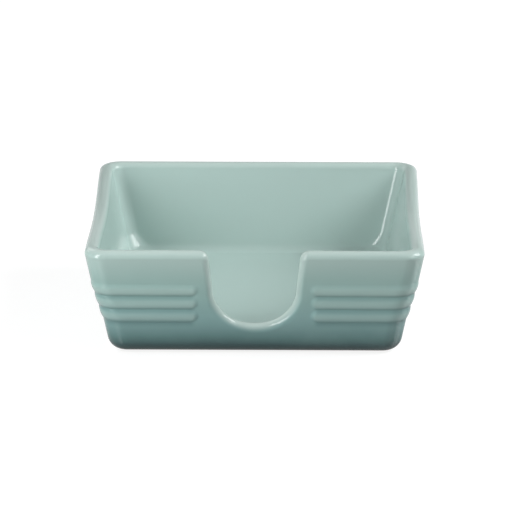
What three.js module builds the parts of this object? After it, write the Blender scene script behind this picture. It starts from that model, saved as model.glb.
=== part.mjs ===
// A square stoneware holder for folded cocktail napkins, standing on four soft pads.
// Millimetres, +Z up. The front, with its finger notch, faces -Y.
// The origin is on the table, under the middle of the holder.
import * as THREE from 'three';

// Outside of the stoneware body. Its heights are measured from its own foot.
const BASE_WIDTH = 145;
const BASE_DEPTH = 145;
const RIM_HEIGHT = 54.7;
const WALL_DRAFT_DEGREES = 10.8;
const OUTER_CORNER_RADIUS = 9.8;
const BASE_FILLET = 7.2;
const SIDE_RIM_DIP = 2.8;

// Inside of the body
const WALL_THICKNESS = 6.8;
const FLOOR_HEIGHT = 10.3;
const INNER_CORNER_RADIUS = 6.5;
const FLOOR_FILLET = 5.2;
const FLOOR_CORNER_RADIUS = 12;
const FLOOR_CORNER_RISE = 10;

// Rings round the outside: each one is a low bead, and the wall steps in from one to the next
const RING_COUNT = 3;
const RING_FOOT_MARGIN = 16.6;
const RING_RIM_MARGIN = 16.5;
const RING_STEP = 0.52;
const RING_RELIEF = 0.6;
const RING_FULLNESS = 2;
const RING_RUN_OUT = 6.5;
const RING_END_ROUND = 3.6;

// Finger notch in the front wall, measured to the middle of its rounded lip
const NOTCH_RADIUS = 23.8;
const NOTCH_SILL = 1.9;
const NOTCH_FLARE = 1.7;
const NOTCH_CORNER_RADIUS = 1;
const NOTCH_PLAIN_MARGIN = 0.3;

// Underside: a flat foot all round a raised panel
const FOOT_WIDTH = 6;
const RECESS_STEP_WIDTH = 1;
const RECESS_CORNER_RADIUS = 6;
const LEAST_FOOT_CORNER = 1;

// Soft pads, stuck to the raised panel
const PAD_DIAMETER = 12;
const PAD_THICKNESS = 2.5;
const PAD_EDGE = 0.5;
const PAD_PROUD = 0.8;
const PAD_MARGIN = 4;
const ADHESIVE_GAP = 0.3;

// How finely the curved surfaces are divided
const CORNER_STEPS = 6;
const SIDE_STEPS = 8;
const BACK_STEPS = 4;
const FRONT_STEPS = 2;
const RUN_OUT_STEPS = 3;
const LOWER_WALL_STEPS = 3;
const RING_STEPS = 5;
const UPPER_WALL_STEPS = 6;
const NOTCH_CORNER_STEPS = 3;
const NOTCH_BOTTOM_STEPS = 10;
const NOTCH_BAND_STEPS = 2;
const LIP_STEPS = 6;
const FILLET_STEPS = 4;
const PAD_SEGMENTS = 28;

const { clamp, degToRad, lerp, smoothstep } = THREE.MathUtils;

// Sizes that follow from the ones above
const draft = degToRad(WALL_DRAFT_DEGREES);
const lipRadius = WALL_THICKNESS / 2;
const rimLipHeight = RIM_HEIGHT - lipRadius;
const ringTop = RIM_HEIGHT - RING_RIM_MARGIN;
const ringPitch = (ringTop - RING_FOOT_MARGIN) / RING_COUNT;
const ringDepth = RING_COUNT * RING_STEP;
const innerDraft = Math.atan(Math.tan(draft) + ringDepth / (rimLipHeight - FLOOR_HEIGHT));
const lipInset = WALL_THICKNESS / Math.cos(draft) - rimLipHeight * Math.tan(draft);
const ringEndShare = Math.min(RING_END_ROUND / RING_RUN_OUT, 0.9);
const notchBottom = FLOOR_HEIGHT + NOTCH_SILL;
const notchCentre = notchBottom + NOTCH_RADIUS;
const notchTopHalf = NOTCH_RADIUS + NOTCH_FLARE + NOTCH_CORNER_RADIUS;
const plainHalf = notchTopHalf + NOTCH_PLAIN_MARGIN;
const wallFoot = BASE_FILLET * (1 - Math.sin(draft));
const wallFootInset = ringDepth - wallFoot * Math.tan(draft);
const recessInset = wallFootInset + BASE_FILLET * Math.cos(draft) + FOOT_WIDTH;
const recessDepth = PAD_THICKNESS + ADHESIVE_GAP - PAD_PROUD;

// Depth of the plain panel round the notch: it eases in over the height of the rings.
function plainDepth(height) {
  return ringDepth * (1 - smoothstep(height, RING_FOOT_MARGIN, ringTop));
}

// Depth of the outer wall behind the line of the upper wall. The first ring swells softly out of it.
// The rings run out beside the plain panel with rounded ends: along goes from 0 to 1 over that length.
function outerDepth(height, along) {
  const fall = (ringTop - height) / ringPitch;
  const passed = clamp(fall, 0, RING_COUNT);
  const ring = Math.min(Math.floor(passed), RING_COUNT - 1);
  const fromCrest = Math.abs(2 * (passed - ring) - 1);
  const swell = Math.min(1 - fromCrest ** RING_FULLNESS, smoothstep(fall, 0, 0.5));
  const endStart = ringEndShare * (1 - Math.sqrt(1 - fromCrest ** 2));
  const bead = swell * smoothstep(along, endStart, endStart + 1 - ringEndShare);
  const stepped = lerp(plainDepth(height), RING_STEP * passed, smoothstep(along, 0, 1));
  return stepped - RING_RELIEF * bead;
}

// A station is one place round the plan. Its point on a rounded rectangle lies on an arc centre,
// part fixed and part a share of the half size, plus the corner radius along the outward angle.
function station(fixedX, shareX, shareY, angle, along = 1, dip = 0) {
  return { fixedX, shareX, shareY, angle, along, dip };
}

function outlinePoint(place, inset, radius, height) {
  const reachX = BASE_WIDTH / 2 - inset - radius;
  const reachY = BASE_DEPTH / 2 - inset - radius;
  const x = place.fixedX + place.shareX * reachX + radius * Math.cos(place.angle);
  const y = place.shareY * reachY + radius * Math.sin(place.angle);
  return new THREE.Vector3(x, y, height);
}

function outerPoint(place, height) {
  const depth = outerDepth(height, place.along);
  return outlinePoint(place, depth - height * Math.tan(draft), OUTER_CORNER_RADIUS, height);
}

// The corners of the tray are rounder near the floor.
function innerCornerRadius(height) {
  const share = smoothstep(height, FLOOR_HEIGHT, FLOOR_HEIGHT + FLOOR_CORNER_RISE);
  return lerp(FLOOR_CORNER_RADIUS, INNER_CORNER_RADIUS, share);
}

// The inner wall is straight, leaning in by the depth of the rings, down to the fillet of the floor.
function innerPoint(place, height) {
  const filletTop = FLOOR_HEIGHT + FLOOR_FILLET * (1 - Math.sin(innerDraft));
  const wallHeight = Math.max(height, filletTop);
  const wall = lipInset + (rimLipHeight - wallHeight) * Math.tan(innerDraft);
  if (height >= filletTop) return outlinePoint(place, wall, innerCornerRadius(height), height);
  const share = (height - wallFoot) / (filletTop - wallFoot);
  const turn = lerp(Math.PI / 2, innerDraft, share);
  const inset = FLOOR_FILLET * (Math.cos(innerDraft) - Math.cos(turn));
  const level = FLOOR_HEIGHT + FLOOR_FILLET * (1 - Math.sin(turn));
  return outlinePoint(place, wall + inset, innerCornerRadius(level), level);
}

function lipCentreHeight(place) {
  return rimLipHeight - SIDE_RIM_DIP * place.dip;
}

// Stations from the right edge of the plain panel, anticlockwise round the plan, to its left edge.
function wallStations() {
  const front = -Math.PI / 2;
  const ringStart = plainHalf + RING_RUN_OUT;
  const halfFront = [];
  for (let i = 0; i < RUN_OUT_STEPS; i++) {
    const along = i / RUN_OUT_STEPS;
    halfFront.push(station(lerp(plainHalf, ringStart, along), 0, -1, front, along));
  }
  for (let i = 0; i < FRONT_STEPS; i++) {
    const share = i / FRONT_STEPS;
    halfFront.push(station(ringStart * (1 - share), share, -1, front));
  }
  const places = [...halfFront];
  const corner = (shareX, shareY, startAngle) => {
    for (let i = 0; i <= CORNER_STEPS; i++) {
      places.push(station(0, shareX, shareY, startAngle + ((Math.PI / 2) * i) / CORNER_STEPS));
    }
  };
  const side = (shareX, direction, angle) => {
    for (let i = 1; i < SIDE_STEPS; i++) {
      const along = direction * (1 - (2 * i) / SIDE_STEPS);
      places.push(station(0, shareX, along, angle, 1, (1 - along ** 2) ** 2));
    }
  };
  corner(1, -1, front);
  side(1, -1, 0);
  corner(1, 1, 0);
  for (let i = 1; i < BACK_STEPS; i++) {
    places.push(station(0, 1 - (2 * i) / BACK_STEPS, 1, Math.PI / 2));
  }
  corner(-1, 1, Math.PI / 2);
  side(-1, 1, Math.PI);
  corner(-1, -1, Math.PI);
  for (const place of halfFront.reverse()) {
    places.push({ ...place, fixedX: -place.fixedX, shareX: -place.shareX });
  }
  return places;
}

function plainStation(x) {
  return station(x, 0, -1, -Math.PI / 2, 0);
}

// Heights of the wall's rows, up to the top of the rings. The second one runs under the notch.
function lowerRows() {
  const underNotch = (wallFoot + notchBottom) / 2;
  const rows = [wallFoot, underNotch];
  for (let i = 1; i <= LOWER_WALL_STEPS; i++) {
    rows.push(lerp(underNotch, RING_FOOT_MARGIN, i / LOWER_WALL_STEPS));
  }
  const ringRows = RING_COUNT * RING_STEPS;
  for (let i = 1; i <= ringRows; i++) {
    rows.push(lerp(RING_FOOT_MARGIN, ringTop, i / ringRows));
  }
  return rows;
}

// Where a node of the frame round the notch meets the notch's lip line: two leaning sides with round
// upper corners, and a half circle below. rowsToRim counts the wall's rows from the node up to the rim.
function notchLipPoint(x, height, rowsToRim) {
  const side = Math.sign(x);
  const sideTop = rimLipHeight - NOTCH_CORNER_RADIUS;
  if (rowsToRim < NOTCH_CORNER_STEPS) {
    const turn = (Math.PI / 2) * (1 - rowsToRim / NOTCH_CORNER_STEPS);
    const cornerX = notchTopHalf - NOTCH_CORNER_RADIUS * Math.cos(turn);
    return { x: side * cornerX, height: sideTop + NOTCH_CORNER_RADIUS * Math.sin(turn) };
  }
  if (height > notchCentre) {
    const sideRow = lerp(rimLipHeight, ringTop, NOTCH_CORNER_STEPS / UPPER_WALL_STEPS);
    const share = (height - notchCentre) / (sideRow - notchCentre);
    return { x: side * (NOTCH_RADIUS + NOTCH_FLARE * share), height: lerp(notchCentre, sideTop, share) };
  }
  const fall = Math.atan2(notchCentre - height, Math.abs(x));
  return { x: side * NOTCH_RADIUS * Math.cos(fall), height: notchCentre - NOTCH_RADIUS * Math.sin(fall) };
}

// Stoneware body: one closed skin over the outer wall, the lip, the inner wall, the floor and the foot
function stonewareGeometry() {
  const positions = [];
  const triangles = [];
  const addPoint = (point) => {
    positions.push(point.x, point.y, point.z);
    return positions.length / 3 - 1;
  };
  const addQuad = (a, b, c, d) => triangles.push(a, b, c, a, c, d);
  const pointAt = (index) => new THREE.Vector3().fromArray(positions, index * 3);

  // A node of the wall has a point on the outside and one on the inside.
  const addNode = (place, height) => ({
    place,
    height,
    outer: addPoint(outerPoint(place, height)),
    inner: addPoint(innerPoint(place, height)),
  });
  const coverGrid = (grid) => {
    for (let i = 0; i + 1 < grid.length; i++) {
      for (let j = 0; j + 1 < grid[i].length; j++) {
        const corners = [grid[i][j], grid[i + 1][j], grid[i + 1][j + 1], grid[i][j + 1]];
        addQuad(...corners.map((node) => node.outer));
        addQuad(...corners.map((node) => node.inner).reverse());
      }
    }
  };

  // The ringed wall, in columns from the foot to the lip
  const lower = lowerRows();
  const wall = wallStations().map((place) => {
    const heights = [...lower];
    for (let i = 1; i <= UPPER_WALL_STEPS; i++) {
      heights.push(lerp(ringTop, lipCentreHeight(place), i / UPPER_WALL_STEPS));
    }
    return heights.map((height) => addNode(place, height));
  });
  coverGrid(wall);

  // The plain strip of wall under the notch
  const right = wall[0];
  const left = wall[wall.length - 1];
  const underRows = lower.slice(0, 2);
  const under = [left.slice(0, 2)];
  for (let i = 1; i < NOTCH_BOTTOM_STEPS; i++) {
    const place = plainStation(lerp(-plainHalf, plainHalf, i / NOTCH_BOTTOM_STEPS));
    under.push(underRows.map((height) => addNode(place, height)));
  }
  under.push(right.slice(0, 2));
  coverGrid(under);

  // The plain band round the notch, from the frame of those strips in to the notch's lip line
  const beside = (column) => column.slice(1).map((node, i) => ({ node, rowsToRim: column.length - 2 - i }));
  const below = under.slice(1, -1).map((column) => ({ node: column[1], rowsToRim: Infinity }));
  const frame = [...beside(left).reverse(), ...below, ...beside(right)];
  const band = frame.map(({ node, rowsToRim }) => {
    const { fixedX } = node.place;
    const lip = notchLipPoint(fixedX, node.height, rowsToRim);
    const nodes = [node];
    for (let j = 1; j <= NOTCH_BAND_STEPS; j++) {
      const share = j / NOTCH_BAND_STEPS;
      const place = plainStation(lerp(fixedX, lip.x, share));
      nodes.push(addNode(place, lerp(node.height, lip.height, share)));
    }
    return nodes;
  });
  coverGrid(band);

  // The rounded lip, along the rim and down round the notch
  const top = wall.map((column) => column[column.length - 1]);
  const lipLine = band.map((nodes) => nodes[NOTCH_BAND_STEPS]);
  const rim = [
    ...top,
    ...band[0].slice(1, -1),
    ...lipLine,
    ...band[band.length - 1].slice(1, -1).reverse(),
  ];
  const middles = rim.map((node) => pointAt(node.outer).add(pointAt(node.inner)).multiplyScalar(0.5));
  const lip = rim.map((node, i) => {
    const before = middles[(i + rim.length - 1) % rim.length];
    const after = middles[(i + 1) % rim.length];
    const across = pointAt(node.inner).sub(pointAt(node.outer));
    const out = after.clone().sub(before).cross(across).normalize();
    const ring = [node.outer];
    for (let j = 1; j < LIP_STEPS; j++) {
      const turn = (Math.PI * j) / LIP_STEPS;
      const point = middles[i].clone().addScaledVector(across, -Math.cos(turn) / 2);
      ring.push(addPoint(point.addScaledVector(out, lipRadius * Math.sin(turn))));
    }
    ring.push(node.inner);
    return ring;
  });
  lip.forEach((ring, i) => {
    const next = lip[(i + 1) % lip.length];
    for (let j = 0; j < LIP_STEPS; j++) {
      addQuad(ring[j], next[j], next[j + 1], ring[j + 1]);
    }
  });

  // The underside, from the edge of the raised panel over the foot and the base fillet to the wall
  const foot = [...wall.map((column) => column[0]), ...under.slice(1, -1).map((column) => column[0])];
  const underside = foot.map((node) => {
    const column = [
      addPoint(outlinePoint(node.place, recessInset + RECESS_STEP_WIDTH, RECESS_CORNER_RADIUS, recessDepth)),
      addPoint(outlinePoint(node.place, recessInset, RECESS_CORNER_RADIUS, 0)),
    ];
    for (let i = 0; i < FILLET_STEPS; i++) {
      const turn = lerp(Math.PI / 2, draft, i / FILLET_STEPS);
      const inward = BASE_FILLET * (Math.cos(draft) - Math.cos(turn));
      const radius = Math.max(OUTER_CORNER_RADIUS - inward, LEAST_FOOT_CORNER);
      const height = BASE_FILLET * (1 - Math.sin(turn));
      column.push(addPoint(outlinePoint(node.place, wallFootInset + inward, radius, height)));
    }
    column.push(node.outer);
    return column;
  });
  const panelMiddle = addPoint(new THREE.Vector3(0, 0, recessDepth));
  const floorMiddle = addPoint(new THREE.Vector3(0, 0, FLOOR_HEIGHT));
  underside.forEach((column, i) => {
    const k = (i + 1) % underside.length;
    const next = underside[k];
    for (let j = 0; j + 1 < column.length; j++) {
      addQuad(column[j], next[j], next[j + 1], column[j + 1]);
    }
    triangles.push(panelMiddle, next[0], column[0]);
    triangles.push(floorMiddle, foot[i].inner, foot[k].inner);
  });

  const geometry = new THREE.BufferGeometry();
  geometry.setAttribute('position', new THREE.Float32BufferAttribute(positions, 3));
  geometry.setIndex(triangles);
  geometry.computeVertexNormals();
  return geometry;
}

// Soft pad: a low disc with a rounded-off lower edge
function padGeometry() {
  const radius = PAD_DIAMETER / 2;
  const profile = [
    new THREE.Vector2(0, 0),
    new THREE.Vector2(radius - PAD_EDGE, 0),
    new THREE.Vector2(radius, PAD_EDGE),
    new THREE.Vector2(radius, PAD_THICKNESS),
    new THREE.Vector2(0, PAD_THICKNESS),
  ];
  return new THREE.LatheGeometry(profile, PAD_SEGMENTS).rotateX(Math.PI / 2);
}

const glaze = new THREE.MeshStandardMaterial({ color: 0x9ebab3, roughness: 0.22, metalness: 0 });
const softGrey = new THREE.MeshStandardMaterial({ color: 0x4a4d4d, roughness: 0.8, metalness: 0 });

const napkinHolder = new THREE.Group();

const body = new THREE.Mesh(stonewareGeometry(), glaze);
body.name = 'stoneware_body';
body.position.z = PAD_PROUD;
napkinHolder.add(body);

const padInset = recessInset + RECESS_STEP_WIDTH + PAD_MARGIN + PAD_DIAMETER / 2;
for (const [row, sideY] of [['front', -1], ['rear', 1]]) {
  for (const [column, sideX] of [['left', -1], ['right', 1]]) {
    const pad = new THREE.Mesh(padGeometry(), softGrey);
    pad.name = `foot_pad_${row}_${column}`;
    pad.position.set(sideX * (BASE_WIDTH / 2 - padInset), sideY * (BASE_DEPTH / 2 - padInset), 0);
    napkinHolder.add(pad);
  }
}

export default napkinHolder;
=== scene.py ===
"""A glazed stoneware holder for folded cocktail napkins, standing on four soft pads."""
import math
from collections import namedtuple

import bmesh
import bpy
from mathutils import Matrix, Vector


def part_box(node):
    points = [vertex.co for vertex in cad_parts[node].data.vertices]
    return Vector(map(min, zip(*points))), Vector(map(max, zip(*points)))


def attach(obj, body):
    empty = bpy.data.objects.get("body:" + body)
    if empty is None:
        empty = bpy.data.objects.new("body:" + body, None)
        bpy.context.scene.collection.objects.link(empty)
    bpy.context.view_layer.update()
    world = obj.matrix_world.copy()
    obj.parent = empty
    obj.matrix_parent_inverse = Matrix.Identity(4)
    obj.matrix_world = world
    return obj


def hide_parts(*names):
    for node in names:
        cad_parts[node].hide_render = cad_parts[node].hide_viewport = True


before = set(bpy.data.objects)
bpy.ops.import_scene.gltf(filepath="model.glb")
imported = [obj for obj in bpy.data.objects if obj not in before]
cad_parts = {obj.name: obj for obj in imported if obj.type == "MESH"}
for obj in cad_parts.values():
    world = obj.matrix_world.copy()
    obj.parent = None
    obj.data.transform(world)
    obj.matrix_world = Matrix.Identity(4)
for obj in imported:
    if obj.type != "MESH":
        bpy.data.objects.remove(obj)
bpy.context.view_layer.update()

# Stoneware body: one tray of pressed clay, glazed all over but for its foot and fired in one piece.
# Four walls lean out to a full-round lip, a finger notch opens the front wall, rings run round the
# outside, and the walls meet the floor in a soft fillet. Sizes are in metres, heights from the foot.
body_low, body_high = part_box("stoneware_body")
foot_level = body_low.z
rim_height = body_high.z - body_low.z
wall_draft = math.radians(10.8)
wall_thickness = 0.0068
lip_radius = wall_thickness / 2
lip_height = rim_height - lip_radius
base_half = body_high.x - lip_height * math.tan(wall_draft)
outer_corner = 0.0098
inner_corner = 0.0065
base_fillet = 0.0072
wall_foot = base_fillet * (1 - math.sin(wall_draft))
side_rim_dip = 0.0028
floor_height = 0.0103
floor_fillet = 0.0052
floor_corner = 0.012
floor_corner_rise = 0.010

# Rings round the outside: each one is a low bead, and the wall steps in from one to the next
ring_count = 3
ring_foot_margin = 0.0166
ring_rim_margin = 0.0165
ring_step = 0.00052
ring_relief = 0.0006
ring_fullness = 2.0
ring_run_out = 0.0065
ring_end_round = 0.0036
ring_top = rim_height - ring_rim_margin
ring_pitch = (ring_top - ring_foot_margin) / ring_count
ring_depth = ring_count * ring_step

# The inner wall starts at the lip and leans in by the depth of the rings on its way down
inner_draft = math.atan(math.tan(wall_draft) + ring_depth / (lip_height - floor_height))
lip_inset = wall_thickness / math.cos(wall_draft) - lip_height * math.tan(wall_draft)

# Finger notch in the front wall, measured to the middle of its rounded lip
notch_radius = 0.0238
notch_flare = 0.0017
notch_corner = 0.001
notch_sill = 0.0008
notch_plain_margin = 0.0003
notch_bottom = floor_height + notch_sill
notch_centre = notch_bottom + notch_radius
notch_top_half = notch_radius + notch_flare + notch_corner
plain_half = notch_top_half + notch_plain_margin

# Underside: a flat foot all round a raised panel, which the pads are stuck to
foot_width = 0.006
foot_edge = 0.0006
pad_adhesive = 0.0003
recess_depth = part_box("foot_pad_front_left")[1].z + pad_adhesive - foot_level
recess_step = 0.001
recess_corner = 0.006
panel_loop_shares = (0.8, 1.0)

# Where the outer glaze ends on the round of the lip, and the bare clay on the fillet of the base
lip_outer_share = 0.4
fillet_bare_share = 0.3

# How finely the curved surfaces are divided
run_out_steps = 12
front_steps = 24
corner_steps = 20
side_steps = 56
back_steps = 56
under_notch_steps = 6
lower_wall_steps = 8
ring_steps = 18
ring_crowding = 0.7
upper_wall_steps = 22
notch_corner_steps = 7
notch_bottom_steps = 48
notch_band_steps = 8
lip_steps = 18
foot_steps = 4
fillet_steps = 10

# A station is one place round the plan: its arc centre is part fixed and part a share of the reach.
Station = namedtuple("Station", "fixed_x share_x share_y angle along_ring dip", defaults=(1.0, 0.0))
# A node of the wall has a vertex on the outside and one on the inside.
WallNode = namedtuple("WallNode", "place height outer inner")


def lerp(a, b, share):
    return a + (b - a) * share


def smoothstep(share):
    share = min(max(share, 0.0), 1.0)
    return share * share * (3 - 2 * share)


def steps(count, first=0):
    """Even shares of the way from 0 to 1, with or without the first ones."""
    return [i / count for i in range(first, count + 1)]


def plain_depth(height):
    """Depth of the plain panel round the notch behind the line of the upper wall."""
    return ring_depth * (1 - smoothstep((height - ring_foot_margin) / (ring_top - ring_foot_margin)))


def outline_point(place, inset, radius, height):
    """A station's point on a rounded square that lies inside the line of the base by the inset."""
    reach = base_half - inset - radius
    x = place.fixed_x + place.share_x * reach + radius * math.cos(place.angle)
    y = place.share_y * reach + radius * math.sin(place.angle)
    return Vector((x, y, foot_level + height))


def outer_point(place, height):
    inset = plain_depth(height) - height * math.tan(wall_draft)
    return outline_point(place, inset, outer_corner, height)


def inner_corner_at(height):
    """The corners of the tray are rounder near the floor."""
    return lerp(floor_corner, inner_corner, smoothstep((height - floor_height) / floor_corner_rise))


def inner_point(place, height):
    """The inner wall is straight down to the fillet of the floor, which the lowest rows follow."""
    fillet_top = floor_height + floor_fillet * (1 - math.sin(inner_draft))
    inset = lip_inset + (lip_height - max(height, fillet_top)) * math.tan(inner_draft)
    if height < fillet_top:
        turn = lerp(math.pi / 2, inner_draft, (height - wall_foot) / (fillet_top - wall_foot))
        inset += floor_fillet * (math.cos(inner_draft) - math.cos(turn))
        height = floor_height + floor_fillet * (1 - math.sin(turn))
    return outline_point(place, inset, inner_corner_at(height), height)


def wall_stations():
    """Stations from the right edge of the plain panel, anticlockwise round the plan, to its left edge."""
    front, right, back, left = (math.radians(angle) for angle in (-90, 0, 90, 180))
    ring_start = plain_half + ring_run_out
    run_out = [Station(lerp(plain_half, ring_start, t), 0, -1, front, t) for t in steps(run_out_steps)]
    straight = [Station(ring_start * (1 - t), t, -1, front) for t in steps(front_steps, 1)]
    half_front = run_out + straight

    def corner(share_x, share_y, start):
        turns = [start + math.pi / 2 * t for t in steps(corner_steps)[1:-1]]
        return [Station(0, share_x, share_y, turn) for turn in turns]

    def side(share_x, direction, angle):
        along = [direction * (1 - 2 * t) for t in steps(side_steps)]
        return [Station(0, share_x, a, angle, dip=(1 - a * a) ** 2) for a in along]

    places = half_front + corner(1, -1, front) + side(1, -1, right) + corner(1, 1, right)
    places += [Station(0, 1 - 2 * t, 1, back) for t in steps(back_steps)]
    places += corner(-1, 1, back) + side(-1, 1, left) + corner(-1, -1, left)
    return places + [p._replace(fixed_x=-p.fixed_x, share_x=-p.share_x) for p in reversed(half_front)]


def wall_rows():
    """Heights of the wall's rows up to the top of the rings, and the number of them below the notch."""
    under_notch = (wall_foot + notch_bottom) / 2
    below = [lerp(wall_foot, under_notch, t) for t in steps(under_notch_steps)]
    rows = below + [lerp(under_notch, ring_foot_margin, t) for t in steps(lower_wall_steps, 1)]
    crowded = [lerp(t, smoothstep(t), ring_crowding) for t in steps(ring_steps, 1)]
    for ring in reversed(range(ring_count)):
        lower_edge = ring_top - (ring + 1) * ring_pitch
        rows += [lower_edge + ring_pitch * share for share in crowded]
    return rows, len(below)


def notch_lip_point(x, height, rows_to_rim):
    """Where a node of the frame round the notch meets the notch's lip line."""
    side = (x > 0) - (x < 0)
    side_top = lip_height - notch_corner
    if rows_to_rim < notch_corner_steps:
        turn = math.pi / 2 * (1 - rows_to_rim / notch_corner_steps)
        corner_x = notch_top_half - notch_corner * math.cos(turn)
        return side * corner_x, side_top + notch_corner * math.sin(turn)
    if height > notch_centre:
        side_row = lerp(lip_height, ring_top, notch_corner_steps / upper_wall_steps)
        share = (height - notch_centre) / (side_row - notch_centre)
        return side * (notch_radius + notch_flare * share), lerp(notch_centre, side_top, share)
    fall = math.atan2(notch_centre - height, abs(x))
    return side * notch_radius * math.cos(fall), notch_centre - notch_radius * math.sin(fall)


def underside_rows():
    """Rows from the raised panel over the foot to the wall: inset, corner radius, height, bareness."""
    wall_inset = ring_depth - wall_foot * math.tan(wall_draft)
    foot_inset = wall_inset + base_fillet * math.cos(wall_draft)
    foot_corner = outer_corner - base_fillet
    recess_inset = foot_inset + foot_width
    panel_inset = recess_inset + recess_step
    rows = []
    for share in panel_loop_shares:
        rows.append((lerp(base_half - recess_corner, panel_inset, share), recess_corner, recess_depth, 0.0))
    rows.append((recess_inset + foot_edge, recess_corner, foot_edge, 0.0))
    for share in steps(foot_steps):
        radius = lerp(recess_corner, foot_corner, share)
        rows.append((lerp(recess_inset, foot_inset, share), radius, 0.0, 1.0))
    for share in steps(fillet_steps)[1:-1]:
        turn = lerp(math.pi / 2, wall_draft, share)
        inward = base_fillet * (math.cos(wall_draft) - math.cos(turn))
        height = base_fillet * (1 - math.sin(turn))
        bareness = 1 - smoothstep(share / fillet_bare_share)
        rows.append((wall_inset + inward, outer_corner - inward, height, bareness))
    return rows


class StonewareSkin:
    """One closed skin over the outer wall, the lip, the inner wall, the floor and the foot."""

    trait_names = "outward", "wall_height", "along_ring", "outside", "lip", "bare"

    def __init__(self):
        self.points = []
        self.faces = []
        self.traits = {name: [] for name in self.trait_names}
        self.build_walls()
        self.build_lip()
        self.build_foot()

    def vertex(self, point, wall_height=0.0, along_ring=0.0, outside=0.0, lip=0.0, bare=0.0, angle=0.0):
        """Adds a point with its traits, which the rings and the glaze go by."""
        outward = math.cos(angle), math.sin(angle), 0.0
        self.points.append(point)
        for name, value in zip(self.trait_names, (outward, wall_height, along_ring, outside, lip, bare)):
            self.traits[name].append(value)
        return len(self.points) - 1

    def wall_node(self, place, height):
        outer = self.vertex(outer_point(place, height), height, place.along_ring, 1.0, angle=place.angle)
        inner = self.vertex(inner_point(place, height), height)
        return WallNode(place, height, outer, inner)

    def join(self, column, following):
        """Covers the strip between two columns of vertices."""
        for j in range(len(column) - 1):
            self.faces.append([column[j], following[j], following[j + 1], column[j + 1]])

    def cover(self, grid):
        """Covers both sides of a grid of wall nodes."""
        for column, following in zip(grid, grid[1:]):
            self.join([node.outer for node in column], [node.outer for node in following])
            self.join([node.inner for node in following], [node.inner for node in column])

    def build_walls(self):
        """The ringed wall, the strip under the notch, and the plain band from both to the notch's lip."""
        lower, below = wall_rows()
        wall = []
        for place in wall_stations():
            top = lip_height - side_rim_dip * place.dip
            heights = lower + [lerp(ring_top, top, t) for t in steps(upper_wall_steps, 1)]
            wall.append([self.wall_node(place, height) for height in heights])
        right, left = wall[0], wall[-1]
        plain = right[0].place
        under = [left[:below]]
        for t in steps(notch_bottom_steps)[1:-1]:
            place = plain._replace(fixed_x=lerp(-plain_half, plain_half, t))
            under.append([self.wall_node(place, height) for height in lower[:below]])
        under.append(right[:below])

        side_rows = range(below - 1, len(right))
        frame_nodes = [(left[k], len(right) - 1 - k) for k in reversed(side_rows)]
        frame_nodes += [(column[-1], len(right)) for column in under[1:-1]]
        frame_nodes += [(right[k], len(right) - 1 - k) for k in side_rows]
        band = []
        for node, rows_to_rim in frame_nodes:
            x, height = notch_lip_point(node.place.fixed_x, node.height, rows_to_rim)
            nodes = [node]
            for t in steps(notch_band_steps, 1):
                place = plain._replace(fixed_x=lerp(node.place.fixed_x, x, t))
                nodes.append(self.wall_node(place, lerp(node.height, height, t)))
            band.append(nodes)
        for grid in (wall, under, band):
            self.cover(grid)
        self.foot_line = [column[0] for column in wall] + [column[0] for column in under[1:-1]]
        self.rim_line = [column[-1] for column in wall] + band[0][1:-1]
        self.rim_line += [nodes[-1] for nodes in band] + band[-1][-2:0:-1]

    def build_lip(self):
        """The round lip, along the rim and down round the notch."""
        count = len(self.rim_line)
        middles = [(self.points[node.outer] + self.points[node.inner]) / 2 for node in self.rim_line]
        rounds = []
        for i, node in enumerate(self.rim_line):
            across = self.points[node.inner] - self.points[node.outer]
            out = (middles[(i + 1) % count] - middles[i - 1]).cross(across).normalized()
            lip_round = [node.outer]
            for t in steps(lip_steps)[1:-1]:
                crest = math.sin(math.pi * t)
                point = middles[i] - across * (math.cos(math.pi * t) / 2) + out * (lip_radius * crest)
                outside = 1 - smoothstep(t / lip_outer_share)
                lip_round.append(self.vertex(point, node.height, outside=outside, lip=crest))
            rounds.append(lip_round + [node.inner])
        for i in range(count):
            self.join(rounds[i], rounds[(i + 1) % count])

    def build_foot(self):
        """The underside, from the raised panel over the foot and the base fillet, and the tray's floor."""
        rows = underside_rows()
        columns = []
        for node in self.foot_line:
            column = []
            for inset, radius, height, bareness in rows:
                point = outline_point(node.place, inset, radius, height)
                column.append(self.vertex(point, height, outside=1.0, bare=bareness))
            columns.append(column + [node.outer])
        panel_middle = self.vertex(Vector((0, 0, foot_level + recess_depth)), outside=1.0)
        floor_middle = self.vertex(Vector((0, 0, foot_level + floor_height)))
        for i, column in enumerate(columns):
            k = (i + 1) % len(columns)
            self.join(column, columns[k])
            self.faces.append([panel_middle, columns[k][0], column[0]])
            self.faces.append([floor_middle, self.foot_line[i].inner, self.foot_line[k].inner])


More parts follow.
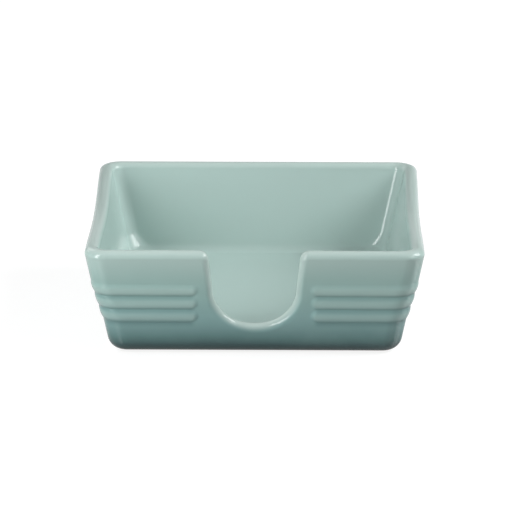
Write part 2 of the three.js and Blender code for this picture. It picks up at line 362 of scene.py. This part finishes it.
class Field:
    """A node socket that takes part in Python expressions: arithmetic on it adds Math nodes."""

    def __init__(self, tree, socket=None):
        self.tree = tree
        self.socket = socket

    def node(self, kind, settings=None, inputs=None, output=0):
        """Adds any node: its settings first, then the values or links of its sockets."""
        node = self.tree.nodes.new(kind)
        for name, value in (settings or {}).items():
            if name == "stops":
                self.set_stops(node.color_ramp, value)
            else:
                setattr(node, name, value)
        for key, value in (inputs or {}).items():
            if isinstance(value, Field):
                self.tree.links.new(value.socket, node.inputs[key])
            else:
                node.inputs[key].default_value = value
        return Field(self.tree, node.outputs[output])

    @staticmethod
    def set_stops(ramp, stops):
        for i, (position, colour) in enumerate(stops):
            stop = ramp.elements[i] if i < 2 else ramp.elements.new(1.0)
            stop.position = position
            stop.color = colour

    def math(self, operation, *values):
        return self.node("ShaderNodeMath", {"operation": operation}, dict(enumerate(values)))

    def __add__(self, other):
        return self.math("ADD", self, other)

    def __radd__(self, other):
        return self.math("ADD", other, self)

    def __sub__(self, other):
        return self.math("SUBTRACT", self, other)

    def __rsub__(self, other):
        return self.math("SUBTRACT", other, self)

    def __mul__(self, other):
        return self.math("MULTIPLY", self, other)

    def __rmul__(self, other):
        return self.math("MULTIPLY", other, self)

    def __truediv__(self, other):
        return self.math("DIVIDE", self, other)

    def __rtruediv__(self, other):
        return self.math("DIVIDE", other, self)

    def __pow__(self, other):
        return self.math("POWER", self, other)

    def __rpow__(self, other):
        return self.math("POWER", other, self)

    def clamped(self, low=0.0, high=1.0):
        return self.math("MINIMUM", self.math("MAXIMUM", self, low), high)

    def smooth(self, low, high):
        """0 below low, 1 above high, with an eased rise between them."""
        inputs = {"Value": self, "From Min": low, "From Max": high}
        return self.node("ShaderNodeMapRange", {"interpolation_type": "SMOOTHSTEP"}, inputs)

    def mixed(self, first, second):
        """Goes from the first colour to the second as this value goes from 0 to 1."""
        settings = {"data_type": "RGBA", "clamp_factor": True}
        return self.node("ShaderNodeMix", settings, {0: self, 6: first, 7: second}, output=2)

    def noise(self, scale, detail):
        """Soft noise from 0 to 1 over the coordinates that this socket gives."""
        inputs = {"Vector": self, "Scale": scale, "Detail": detail}
        return self.node("ShaderNodeTexNoise", None, inputs, output="Fac")


def srgb(red, green, blue):
    """An 8-bit screen colour as the linear colour that a shader takes."""
    channels = [c / 255 for c in (red, green, blue)]
    return tuple(c / 12.92 if c <= 0.04045 else ((c + 0.055) / 1.055) ** 2.4 for c in channels) + (1.0,)


def new_material(name):
    material = bpy.data.materials.new(name)
    material.use_nodes = True
    return material, material.node_tree.nodes["Principled BSDF"], Field(material.node_tree)


def feed(shader, fields):
    """Links what varies over a surface to the shader's sockets."""
    for name, field in fields.items():
        field.tree.links.new(field.socket, shader.inputs[name])


# The glaze is a glossy sage green. Outside it deepens towards the foot: partly the glaze's own gradation,
# and partly painted shade in the darkest stops at the foot.
# In the grooves it is painted darker, partly pooled glaze and partly painted shade. Over the ring crests
# and the lip it is painted paler, partly glaze breaking thin and partly painted highlight.
# The wiped foot shows the bare buff clay.
sage = srgb(183, 205, 200)
pale_sage_and_lip_sheen = srgb(191, 207, 202)
ring_sage_and_sheen = srgb(186, 214, 208)
pooled_sage_and_shade = srgb(84, 122, 122)
bare_clay = srgb(203, 190, 168)
# Painted shade in part: the lowest stops are darker than the glaze, standing in for the shade at the foot
# of the outer wall.
sage_and_foot_shade_by_height = [
    (0.00, srgb(48, 77, 76)),
    (0.08, srgb(67, 95, 96)),
    (0.17, srgb(103, 140, 138)),
    (0.24, srgb(123, 159, 158)),
    (0.38, srgb(144, 182, 180)),
    (0.55, srgb(157, 193, 188)),
    (0.73, srgb(162, 194, 188)),
    (0.91, srgb(180, 206, 200)),
    (1.00, sage),
]
ring_sheen_paleness = 0.66
groove_shade_darkness = 0.43
lip_sheen_paleness = 0.7
lip_mottle = 0.15
height_mottle = 0.06
gloss_mottle = 0.06
bare_edge_mottle = 0.5
bare_edge_start = 0.35
bare_edge_end = 0.65
glaze_roughness = 0.13
clay_roughness = 0.73
ripple_share = 0.6

glaze, glaze_shader, glaze_nodes = new_material("sage_glaze")


def glaze_trait(name):
    return glaze_nodes.node("ShaderNodeAttribute", {"attribute_name": name}, output="Fac")


on_body = glaze_nodes.node("ShaderNodeTexCoord", output="Object")
cloud = on_body.noise(scale=35.0, detail=3.0) - 0.5
grain = on_body.noise(scale=900.0, detail=2.0)
ripple = on_body.noise(scale=260.0, detail=2.0)
bare = glaze_trait("bare") + (grain - 0.5) * bare_edge_mottle
bare = bare.smooth(bare_edge_start, bare_edge_end)
glaze_height = (glaze_trait("wall_height") / rim_height + cloud * height_mottle).clamped()
outer_sage_and_foot_shade = glaze_nodes.node("ShaderNodeValToRGB", {"stops": sage_and_foot_shade_by_height}, {"Fac": glaze_height})
colour = glaze_trait("outside").mixed(sage, outer_sage_and_foot_shade)
# Painted highlight in part: the ring crests are painted paler where light catches the beads, as well as
# where the glaze breaks thin.
colour = (glaze_trait("crest") * ring_sheen_paleness).mixed(colour, ring_sage_and_sheen)
# Painted shade in part: the grooves are painted darker where shade falls under each ring, as well as where
# glaze pools.
colour = (glaze_trait("groove") * groove_shade_darkness).mixed(colour, pooled_sage_and_shade)
# Painted highlight in part: the lip is painted paler towards its crest where light catches it, as well as
# where the glaze breaks thin.
colour = (glaze_trait("lip") ** 2 * lip_sheen_paleness + cloud * lip_mottle).clamped().mixed(colour, pale_sage_and_lip_sheen)
colour = bare.mixed(colour, bare_clay)
roughness = glaze_roughness + cloud * gloss_mottle + bare * (clay_roughness - glaze_roughness)
surface = glaze_nodes.node(
    "ShaderNodeBump",
    None,
    {"Strength": 0.12, "Distance": 0.0002, "Height": ripple * ripple_share + bare * grain},
)
feed(glaze_shader, {"Base Color": colour, "Roughness": roughness, "Normal": surface})
glaze_shader.inputs["IOR"].default_value = 1.45


class FormingTree(Field):
    """A geometry tree that forms a piece from a starting mesh, with an input for each of its sizes."""

    def __init__(self, name, sizes):
        super().__init__(bpy.data.node_groups.new(name, "GeometryNodeTree"))
        interface = self.tree.interface
        interface.new_socket("Geometry", in_out="INPUT", socket_type="NodeSocketGeometry")
        self.sizes = {}
        for size, value in sizes.items():
            socket = interface.new_socket(size, in_out="INPUT", socket_type="NodeSocketFloat")
            self.sizes[socket.identifier] = float(value)
        interface.new_socket("Geometry", in_out="OUTPUT", socket_type="NodeSocketGeometry")
        self.given = self.tree.nodes.new("NodeGroupInput")

    def size(self, name):
        return Field(self.tree, self.given.outputs[name])

    def start(self):
        return Field(self.tree, self.given.outputs["Geometry"])

    def finish(self, geometry, material):
        """Ends the tree: whatever was instanced becomes real, and it gets its material."""
        real = self.node("GeometryNodeRealizeInstances", None, {"Geometry": geometry})
        coated = self.node("GeometryNodeSetMaterial", None, {"Geometry": real, "Material": material})
        self.tree.links.new(coated.socket, self.tree.nodes.new("NodeGroupOutput").inputs["Geometry"])

    def form(self, name, start_mesh):
        """Runs the tree on a starting mesh and keeps the result as a plain mesh under its final name."""
        shape = bpy.data.objects.new(start_mesh.name, start_mesh)
        bpy.context.scene.collection.objects.link(shape)
        modifier = shape.modifiers.new(self.tree.name, "NODES")
        modifier.node_group = self.tree
        for identifier, value in self.sizes.items():
            modifier[identifier] = value
        depsgraph = bpy.context.evaluated_depsgraph_get()
        formed = shape.evaluated_get(depsgraph)
        mesh = bpy.data.meshes.new_from_object(formed, preserve_all_data_layers=True, depsgraph=depsgraph)
        bpy.data.objects.remove(shape)
        bpy.data.meshes.remove(start_mesh)
        mesh.name = name
        mesh.shade_smooth()
        piece = bpy.data.objects.new(name, mesh)
        bpy.context.scene.collection.objects.link(piece)
        return piece


# The rings are pressed into the outer wall: the tree moves each point of the ringed wall in or out
# by its height, so that each ring is a full bead and the wall steps in at the groove below it. It
# also marks the crests, painted paler partly for the glaze breaking and partly as painted highlight,
# and the grooves, painted darker partly for pooled glaze and partly as painted shade.
pressed_rings = FormingTree("pressed_rings", {
    "Ring count": ring_count,
    "Ring top": ring_top,
    "Ring pitch": ring_pitch,
    "Ring step": ring_step,
    "Ring relief": ring_relief,
    "Ring fullness": ring_fullness,
    "End round": ring_end_round / ring_run_out,
    "Groove width": 0.0017,
    "Groove shade width": 0.0030,
})
first_ring_swell = 0.5
groove_fade_start = 0.2
groove_fade_end = 0.7
crest_sheen_gain = 1.8
crest_sheen_loss_per_ring = 0.15


def ring_trait(name, data_type="FLOAT"):
    return pressed_rings.node("GeometryNodeInputNamedAttribute", {"data_type": data_type}, {"Name": name})


rings = pressed_rings.size("Ring count")
top = pressed_rings.size("Ring top")
pitch = pressed_rings.size("Ring pitch")
step = pressed_rings.size("Ring step")
end_round = pressed_rings.size("End round")
height = ring_trait("wall_height")
along = ring_trait("along_ring")
fall = (top - height) / pitch
passed = fall.clamped(0, rings)
ring = pressed_rings.math("MINIMUM", pressed_rings.math("FLOOR", passed), rings - 1)
from_crest = pressed_rings.math("ABSOLUTE", (passed - ring) * 2 - 1)
plain = step * rings * (1 - height.smooth(top - pitch * rings, top))
fullness = 1 - from_crest ** pressed_rings.size("Ring fullness")
swell = pressed_rings.math("MINIMUM", fullness, fall.smooth(0, first_ring_swell))
rounding = (1 - (1 - from_crest * from_crest) ** 0.5) * end_round
bead = swell * along.smooth(rounding, rounding + 1 - end_round)
move = along.smooth(0, 1) * (plain - step * passed) + pressed_rings.size("Ring relief") * bead
offset = pressed_rings.node(
    "ShaderNodeVectorMath",
    {"operation": "SCALE"},
    {0: ring_trait("outward", "FLOAT_VECTOR"), "Scale": move},
)
ringed = pressed_rings.node(
    "GeometryNodeSetPosition",
    None,
    {"Geometry": pressed_rings.start(), "Offset": offset},
)
# Mask of the grooves, for pooled glaze and painted shade under each ring.
nearest_groove = pressed_rings.math("ROUND", fall).clamped(1, rings)
below_groove = (fall - nearest_groove) * pitch
pooled_shade = 1 - below_groove.smooth(0, pressed_rings.size("Groove shade width"))
pooled_shade = pooled_shade * (1 - (below_groove * -1).smooth(0, pressed_rings.size("Groove width")))
groove = along.smooth(groove_fade_start, groove_fade_end) * pooled_shade
# Mask of the crests, for paler glaze and painted highlight. It is heavier on each bead's lower half and
# weaker on the lower rings, to stand in for how light falls on them.
crest = bead * bead * (passed - ring) * crest_sheen_gain * (1 - ring * crest_sheen_loss_per_ring)
for name, value in {"groove": groove, "crest": crest}.items():
    ringed = pressed_rings.node(
        "GeometryNodeStoreNamedAttribute",
        {"data_type": "FLOAT", "domain": "POINT"},
        {"Geometry": ringed, "Name": name, "Value": value},
    )
pressed_rings.finish(ringed, glaze)

skin = StonewareSkin()
tray_mesh = bpy.data.meshes.new("tray_shape")
tray_mesh.from_pydata(skin.points, [], skin.faces)
for name, values in skin.traits.items():
    if name == "outward":
        trait = tray_mesh.attributes.new(name, "FLOAT_VECTOR", "POINT")
        trait.data.foreach_set("vector", [channel for value in values for channel in value])
    else:
        trait = tray_mesh.attributes.new(name, "FLOAT", "POINT")
        trait.data.foreach_set("value", values)
tray = pressed_rings.form("glazed_tray", tray_mesh)
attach(tray, "root")
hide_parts("stoneware_body")


# Soft pads: four low discs of grey silicone with a rounded lower edge, stuck under the raised panel
# near its corners, so that the fired foot stands clear of the table.
pad_nodes = [f"foot_pad_{row}_{side}" for row in ("front", "rear") for side in ("left", "right")]
pad_low, pad_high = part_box("foot_pad_front_left")
pad_middle = (pad_low + pad_high) / 2
pad_radius = (pad_high.x - pad_low.x) / 2
pad_thickness = pad_high.z - pad_low.z
pad_edge = 0.0006
pad_top_edge = pad_edge / 3
pad_dish = 0.00015
pad_under_steps = 6
pad_edge_steps = 8
pad_turns = 64
pad_grey = srgb(74, 78, 78)
dusty_grey = srgb(96, 99, 97)
pad_roughness = 0.62
dust_roughness = 0.2
dust_start = 0.35
dust_full = 0.75

silicone, silicone_shader, silicone_nodes = new_material("grey_silicone")
on_pad = silicone_nodes.node("ShaderNodeTexCoord", output="Object")
pad_grain = on_pad.noise(scale=2200.0, detail=3.0)
pad_dust = on_pad.noise(scale=160.0, detail=4.0)
pad_colour = pad_dust.smooth(dust_start, dust_full).mixed(pad_grey, dusty_grey)
pad_gloss = pad_roughness + pad_dust * dust_roughness
pad_surface = silicone_nodes.node(
    "ShaderNodeBump",
    None,
    {"Strength": 0.3, "Distance": 0.00008, "Height": pad_grain},
)
feed(silicone_shader, {"Base Color": pad_colour, "Roughness": pad_gloss, "Normal": pad_surface})


def pad_profile():
    """Half section of a pad from the middle of its dished underside to the middle of its top."""
    flat_radius = pad_radius - pad_edge
    under = [(flat_radius * t, pad_dish * (1 - t * t)) for t in steps(pad_under_steps)]
    turns = [math.radians(90 * t - 90) for t in steps(pad_edge_steps, 1)]
    edge = [(flat_radius + pad_edge * math.cos(a), pad_edge + pad_edge * math.sin(a)) for a in turns]
    top_edge = [(pad_radius, pad_thickness - pad_top_edge), (pad_radius - pad_top_edge, pad_thickness)]
    return under + edge + top_edge + [(flat_radius / 2, pad_thickness), (0.0, pad_thickness)]


pad_bm = bmesh.new()
section = [pad_bm.verts.new((x, 0.0, z)) for x, z in pad_profile()]
section += [pad_bm.edges.new(pair) for pair in zip(section, section[1:])]
bmesh.ops.spin(pad_bm, geom=section, axis=(0, 0, 1), cent=(0, 0, 0), angle=2 * math.pi, steps=pad_turns)
bmesh.ops.remove_doubles(pad_bm, verts=pad_bm.verts, dist=1e-6)
bmesh.ops.recalc_face_normals(pad_bm, faces=pad_bm.faces)
pad_mesh = bpy.data.meshes.new("pad_shape")
pad_bm.to_mesh(pad_mesh)
pad_bm.free()

# The pads stand on the corners of a square grid, one point to a pad.
set_pads = FormingTree("set_pads", {
    "Spacing across": 2 * abs(pad_middle.x),
    "Spacing along": 2 * abs(pad_middle.y),
})
pad_corners = set_pads.node(
    "GeometryNodeMeshGrid",
    None,
    {
        "Size X": set_pads.size("Spacing across"),
        "Size Y": set_pads.size("Spacing along"),
        "Vertices X": 2,
        "Vertices Y": 2,
    },
)
stuck_on = set_pads.node(
    "GeometryNodeInstanceOnPoints",
    None,
    {"Points": pad_corners, "Instance": set_pads.start()},
)
set_pads.finish(stuck_on, silicone)
pads = set_pads.form("soft_pads", pad_mesh)
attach(pads, "root")
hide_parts(*pad_nodes)


# Studio: a white board for a floor, glossy enough to mirror the lamps, under a dim white surround.
# One large soft lamp on the right gives most of the light. Weaker ones stand at the right front and
# the left back, and a tall narrow one at the left front draws the streaks in the glaze.
floor_half = 6.0
floor_grey = 0.30
floor_glow = 0.85
gloss_glow_share = 0.5
black = (0.0, 0.0, 0.0, 1.0)
white = (1.0, 1.0, 1.0, 1.0)


def white_to_camera(nodes):
    """1 for what the camera sees straight or through glass, less in gloss, 0 for light that bounces."""
    path = nodes.tree.nodes.new("ShaderNodeLightPath")
    seen = Field(nodes.tree, path.outputs["Is Camera Ray"])
    for ray, share in (("Is Glossy Ray", gloss_glow_share), ("Is Transmission Ray", 1.0)):
        seen = nodes.math("MAXIMUM", seen, Field(nodes.tree, path.outputs[ray]) * share)
    return seen


floor_mesh = bpy.data.meshes.new("studio_floor")
floor_corners = [(floor_half * x, floor_half * y, 0.0) for x, y in ((-1, -1), (1, -1), (1, 1), (-1, 1))]
floor_mesh.from_pydata(floor_corners, [], [(0, 1, 2, 3)])
board, board_shader, board_nodes = new_material("glossy_white_board")
board_shader.inputs["Base Color"].default_value = (floor_grey, floor_grey, floor_grey, 1.0)
board_shader.inputs["Roughness"].default_value = 0.12
board_shader.inputs["Specular IOR Level"].default_value = 1.0
board_shader.inputs["Emission Strength"].default_value = floor_glow
feed(board_shader, {"Emission Color": white_to_camera(board_nodes).mixed(black, white)})
floor_mesh.materials.append(board)
floor = bpy.data.objects.new("studio_floor", floor_mesh)
bpy.context.scene.collection.objects.link(floor)

surround_level = 0.06
backdrop_top_start = 0.15
backdrop_top_end = 0.3
world = bpy.data.worlds.new("pale_surround")
world.use_nodes = True
bpy.context.scene.world = world
surround = world.node_tree.nodes["Background"]
surround.inputs["Color"].default_value = (0.94, 1.0, 1.0, 1.0)
sky = Field(world.node_tree)
direction = sky.node("ShaderNodeTexCoord", output="Generated")
upward = sky.node("ShaderNodeSeparateXYZ", None, {"Vector": direction}, output="Z")
backdrop = white_to_camera(sky) * (1 - upward.smooth(backdrop_top_start, backdrop_top_end))
feed(surround, {"Strength": surround_level + backdrop * (1 - surround_level)})

lamp_aim = Vector((0.0, 0.0, rim_height / 2))


def soft_lamp(name, place, width, height, power):
    lamp = bpy.data.lights.new(name, "AREA")
    lamp.shape = "RECTANGLE"
    lamp.size = width
    lamp.size_y = height
    lamp.energy = power
    stand = bpy.data.objects.new(name, lamp)
    stand.location = place
    stand.rotation_euler = (lamp_aim - Vector(place)).to_track_quat("-Z", "Y").to_euler()
    bpy.context.scene.collection.objects.link(stand)


soft_lamp("right_lamp", (1.04, 0.06, 0.84), width=0.75, height=0.75, power=14.8)
soft_lamp("right_front_lamp", (0.86, -0.72, 0.68), width=0.45, height=0.45, power=2.4)
soft_lamp("left_front_lamp", (-0.49, -0.47, 0.335), width=0.23, height=0.70, power=4.4)
soft_lamp("left_back_lamp", (-0.72, 0.86, 0.68), width=0.8, height=0.6, power=2.2)


# Camera: a long lens in front of the holder, a little above it and to its right. Its place and its
# length were fitted to the outline of the holder in the photograph's square frame.
image_width = 510
focal_pixels = 3908
sensor_width = 36.0
look_down = math.radians(17.108)
turn_left = math.radians(0.760)
camera = bpy.data.cameras.new("photo_camera")
camera.sensor_width = sensor_width
camera.lens = sensor_width * focal_pixels / image_width
tripod = bpy.data.objects.new("photo_camera", camera)
tripod.location = (0.0242, -1.880, 0.6078)
tripod.rotation_euler = (math.pi / 2 - look_down, 0.0, turn_left)
bpy.context.scene.collection.objects.link(tripod)
bpy.context.scene.camera = tripod
bpy.context.scene.view_settings.view_transform = "Standard"
